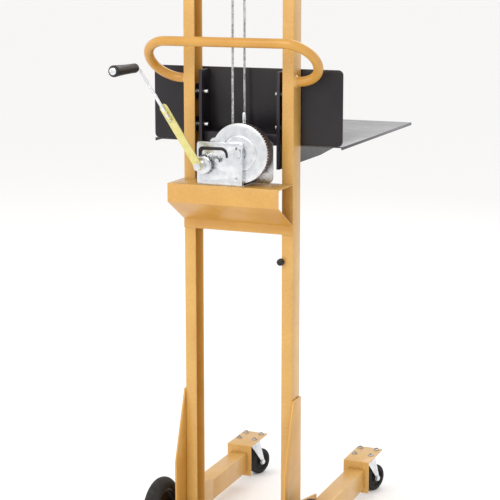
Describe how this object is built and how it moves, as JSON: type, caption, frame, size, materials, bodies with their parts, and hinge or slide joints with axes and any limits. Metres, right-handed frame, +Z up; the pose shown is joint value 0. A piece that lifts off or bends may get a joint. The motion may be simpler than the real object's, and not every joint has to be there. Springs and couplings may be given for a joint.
{
  "type": "platform lift truck",
  "caption": "Hand-winch platform lift truck: a two-channel mast on straddle legs, with a roller carriage, a raised platform, a geared winch with a crank, and wheels.",
  "frame": {"origin": "on the floor, at the middle of the overall length and width", "axes": "+Z up, +Y forwards to the platform and the leg tips, +X to the right of the person at the crank"},
  "size_m": [0.508, 0.909, 1.7],
  "materials": {
    "head_crossbar": "smooth amber-yellow enamel, semi-gloss",
    "base_crossmember": "smooth amber-yellow enamel, semi-gloss",
    "rear_axle": "plain machined steel",
    "push_handle": "smooth amber-yellow enamel, semi-gloss",
    "winch_shelf": "smooth amber-yellow enamel, semi-gloss",
    "stop_knob": "moulded black plastic",
    "winch_bracket": "bright zinc plating",
    "drum_shaft": "plain machined steel",
    "pawl_pin": "plain machined steel",
    "sheave_axle": "plain machined steel",
    "sheave_bracket": "smooth amber-yellow enamel, semi-gloss",
    "drum_rope": "plain machined steel",
    "sheave_rope": "plain machined steel",
    "carriage_rope": "plain machined steel",
    "left_upright": "smooth amber-yellow enamel, semi-gloss",
    "left_side_plate": "smooth amber-yellow enamel, semi-gloss",
    "left_leg": "smooth amber-yellow enamel, semi-gloss",
    "left_toe_bracket": "smooth amber-yellow enamel, semi-gloss",
    "left_caster_plate": "bright zinc plating",
    "right_upright": "smooth amber-yellow enamel, semi-gloss",
    "right_side_plate": "smooth amber-yellow enamel, semi-gloss",
    "right_leg": "smooth amber-yellow enamel, semi-gloss",
    "right_toe_bracket": "smooth amber-yellow enamel, semi-gloss",
    "right_caster_plate": "bright zinc plating",
    "back_plate": "smooth black enamel, semi-gloss",
    "platform": "smooth black enamel, semi-gloss",
    "carriage_beam": "smooth black enamel, semi-gloss",
    "rope_anchor": "bright zinc plating",
    "left_carriage_arm": "smooth black enamel, semi-gloss",
    "left_upper_roller_pin": "plain machined steel",
    "left_lower_roller_pin": "plain machined steel",
    "right_carriage_arm": "smooth black enamel, semi-gloss",
    "right_upper_roller_pin": "plain machined steel",
    "right_lower_roller_pin": "plain machined steel",
    "winch_drum": "bright zinc plating",
    "rope_wraps": "plain machined steel",
    "main_gear": "bright zinc plating",
    "crank_shaft": "plain machined steel",
    "pinion": "plain machined steel",
    "ratchet_wheel": "plain machined steel",
    "brake_hub": "bright zinc plating",
    "crank_bar": "yellow passivated zinc",
    "crank_rod": "bright zinc plating",
    "crank_grip": "moulded black plastic",
    "pawl": "plain machined steel",
    "sheave": "smooth black enamel, semi-gloss",
    "left_upper_roller": "plain machined steel",
    "left_lower_roller": "plain machined steel",
    "left_rear_tyre": "solid black rubber",
    "left_rear_hub": "smooth black enamel, semi-gloss",
    "left_caster_fork": "bright zinc plating",
    "left_caster_axle": "bright zinc plating",
    "left_front_wheel": "solid black rubber",
    "right_upper_roller": "plain machined steel",
    "right_lower_roller": "plain machined steel",
    "right_rear_tyre": "solid black rubber",
    "right_rear_hub": "smooth black enamel, semi-gloss",
    "right_caster_fork": "bright zinc plating",
    "right_caster_axle": "bright zinc plating",
    "right_front_wheel": "solid black rubber"
  },
  "bodies": {
    "frame": {"head_crossbar": "head_crossbar", "base_crossmember": "base_crossmember", "rear_axle": "rear_axle", "push_handle": "push_handle", "winch_shelf": "winch_shelf", "stop_knob": "stop_knob", "winch_bracket": "winch_bracket", "drum_shaft": "drum_shaft", "pawl_pin": "pawl_pin", "sheave_axle": "sheave_axle", "sheave_bracket": "sheave_bracket", "drum_rope": "drum_rope", "sheave_rope": "sheave_rope", "carriage_rope": "carriage_rope", "left_upright": "left_upright", "left_side_plate": "left_side_plate", "left_leg": "left_leg", "left_toe_bracket": "left_toe_bracket", "left_caster_plate": "left_caster_plate", "right_upright": "right_upright", "right_side_plate": "right_side_plate", "right_leg": "right_leg", "right_toe_bracket": "right_toe_bracket", "right_caster_plate": "right_caster_plate"},
    "carriage": {"back_plate": "back_plate", "platform": "platform", "carriage_beam": "carriage_beam", "rope_anchor": "rope_anchor", "left_carriage_arm": "left_carriage_arm", "left_upper_roller_pin": "left_upper_roller_pin", "left_lower_roller_pin": "left_lower_roller_pin", "right_carriage_arm": "right_carriage_arm", "right_upper_roller_pin": "right_upper_roller_pin", "right_lower_roller_pin": "right_lower_roller_pin"},
    "drum": {"winch_drum": "winch_drum", "rope_wraps": "rope_wraps", "main_gear": "main_gear"},
    "crank": {"crank_shaft": "crank_shaft", "pinion": "pinion", "ratchet_wheel": "ratchet_wheel", "brake_hub": "brake_hub", "crank_bar": "crank_bar", "crank_rod": "crank_rod"},
    "grip": {"crank_grip": "crank_grip"},
    "pawl": {"pawl": "pawl"},
    "sheave": {"sheave": "sheave"},
    "left_upper_roller": {"left_upper_roller": "left_upper_roller"},
    "left_lower_roller": {"left_lower_roller": "left_lower_roller"},
    "left_rear_wheel": {"left_rear_tyre": "left_rear_tyre", "left_rear_hub": "left_rear_hub"},
    "left_caster": {"left_caster_fork": "left_caster_fork", "left_caster_axle": "left_caster_axle"},
    "left_front_wheel": {"left_front_wheel": "left_front_wheel"},
    "right_upper_roller": {"right_upper_roller": "right_upper_roller"},
    "right_lower_roller": {"right_lower_roller": "right_lower_roller"},
    "right_rear_wheel": {"right_rear_tyre": "right_rear_tyre", "right_rear_hub": "right_rear_hub"},
    "right_caster": {"right_caster_fork": "right_caster_fork", "right_caster_axle": "right_caster_axle"},
    "right_front_wheel": {"right_front_wheel": "right_front_wheel"}
  },
  "joints": [
    {"name": "carriage_lift", "type": "slide", "parent": "frame", "child": "carriage", "axis": [0, 0, 1], "range_m": [-0.88, 0.4], "deforming": ["carriage_rope"]},
    {"name": "drum_turn", "type": "hinge", "parent": "frame", "child": "drum", "pos_m": [0.04, -0.1855, 1.041], "axis": [0, 1, 0], "range_deg": [-670, 1471]},
    {"name": "crank_turn", "type": "hinge", "parent": "frame", "child": "crank", "pos_m": [-0.0483, -0.1855, 1.01025], "axis": [0, 1, 0], "range_deg": [-4779, 2173]},
    {"name": "grip_spin", "type": "hinge", "parent": "crank", "child": "grip", "pos_m": [-0.20284, -0.1855, 1.24374], "axis": [0, 1, 0], "continuous": true},
    {"name": "pawl_lift", "type": "hinge", "parent": "frame", "child": "pawl", "pos_m": [-0.0123, -0.28, 1.02225], "axis": [0, 1, 0], "range_deg": [0, 20], "stiffness_Nm_per_rad": 0.05, "springref_deg": -11.46},
    {"name": "sheave_turn", "type": "hinge", "parent": "frame", "child": "sheave", "pos_m": [0.0057, -0.193, 1.605], "axis": [1, 0, 0], "range_deg": [-1383, 629]},
    {"name": "left_upper_roller_spin", "type": "hinge", "parent": "carriage", "child": "left_upper_roller", "pos_m": [-0.1305, -0.1605, 1.177], "axis": [1, 0, 0], "range_deg": [-1119, 2461]},
    {"name": "left_lower_roller_spin", "type": "hinge", "parent": "carriage", "child": "left_lower_roller", "pos_m": [-0.1305, -0.1605, 1.095], "axis": [1, 0, 0], "range_deg": [-2461, 1119]},
    {"name": "left_rear_wheel_roll", "type": "hinge", "parent": "frame", "child": "left_rear_wheel", "pos_m": [-0.205, -0.2205, 0.085], "axis": [1, 0, 0], "continuous": true},
    {"name": "left_caster_swivel", "type": "hinge", "parent": "frame", "child": "left_caster", "pos_m": [-0.1776, 0.3165, 0.1], "axis": [0, 0, 1], "continuous": true},
    {"name": "left_front_wheel_roll", "type": "hinge", "parent": "left_caster", "child": "left_front_wheel", "pos_m": [-0.16486, 0.34802, 0.0375], "axis": [0.9272, -0.3746, 0], "continuous": true},
    {"name": "right_upper_roller_spin", "type": "hinge", "parent": "carriage", "child": "right_upper_roller", "pos_m": [0.1305, -0.1605, 1.177], "axis": [1, 0, 0], "range_deg": [-1119, 2461]},
    {"name": "right_lower_roller_spin", "type": "hinge", "parent": "carriage", "child": "right_lower_roller", "pos_m": [0.1305, -0.1605, 1.095], "axis": [1, 0, 0], "range_deg": [-2461, 1119]},
    {"name": "right_rear_wheel_roll", "type": "hinge", "parent": "frame", "child": "right_rear_wheel", "pos_m": [0.205, -0.2205, 0.085], "axis": [1, 0, 0], "continuous": true},
    {"name": "right_caster_swivel", "type": "hinge", "parent": "frame", "child": "right_caster", "pos_m": [0.1776, 0.3165, 0.1], "axis": [0, 0, 1], "continuous": true},
    {"name": "right_front_wheel_roll", "type": "hinge", "parent": "right_caster", "child": "right_front_wheel", "pos_m": [0.19034, 0.34802, 0.0375], "axis": [0.9272, -0.3746, 0], "continuous": true}
  ],
  "couplings": [
    {"joint": "drum_turn", "follows": "carriage_lift", "rad_per_m": -29.154},
    {"joint": "crank_turn", "follows": "carriage_lift", "rad_per_m": 94.752},
    {"joint": "sheave_turn", "follows": "carriage_lift", "rad_per_m": 27.397},
    {"joint": "left_upper_roller_spin", "follows": "carriage_lift", "rad_per_m": -48.781},
    {"joint": "left_lower_roller_spin", "follows": "carriage_lift", "rad_per_m": 48.781},
    {"joint": "right_upper_roller_spin", "follows": "carriage_lift", "rad_per_m": -48.781},
    {"joint": "right_lower_roller_spin", "follows": "carriage_lift", "rad_per_m": 48.781}
  ]
}
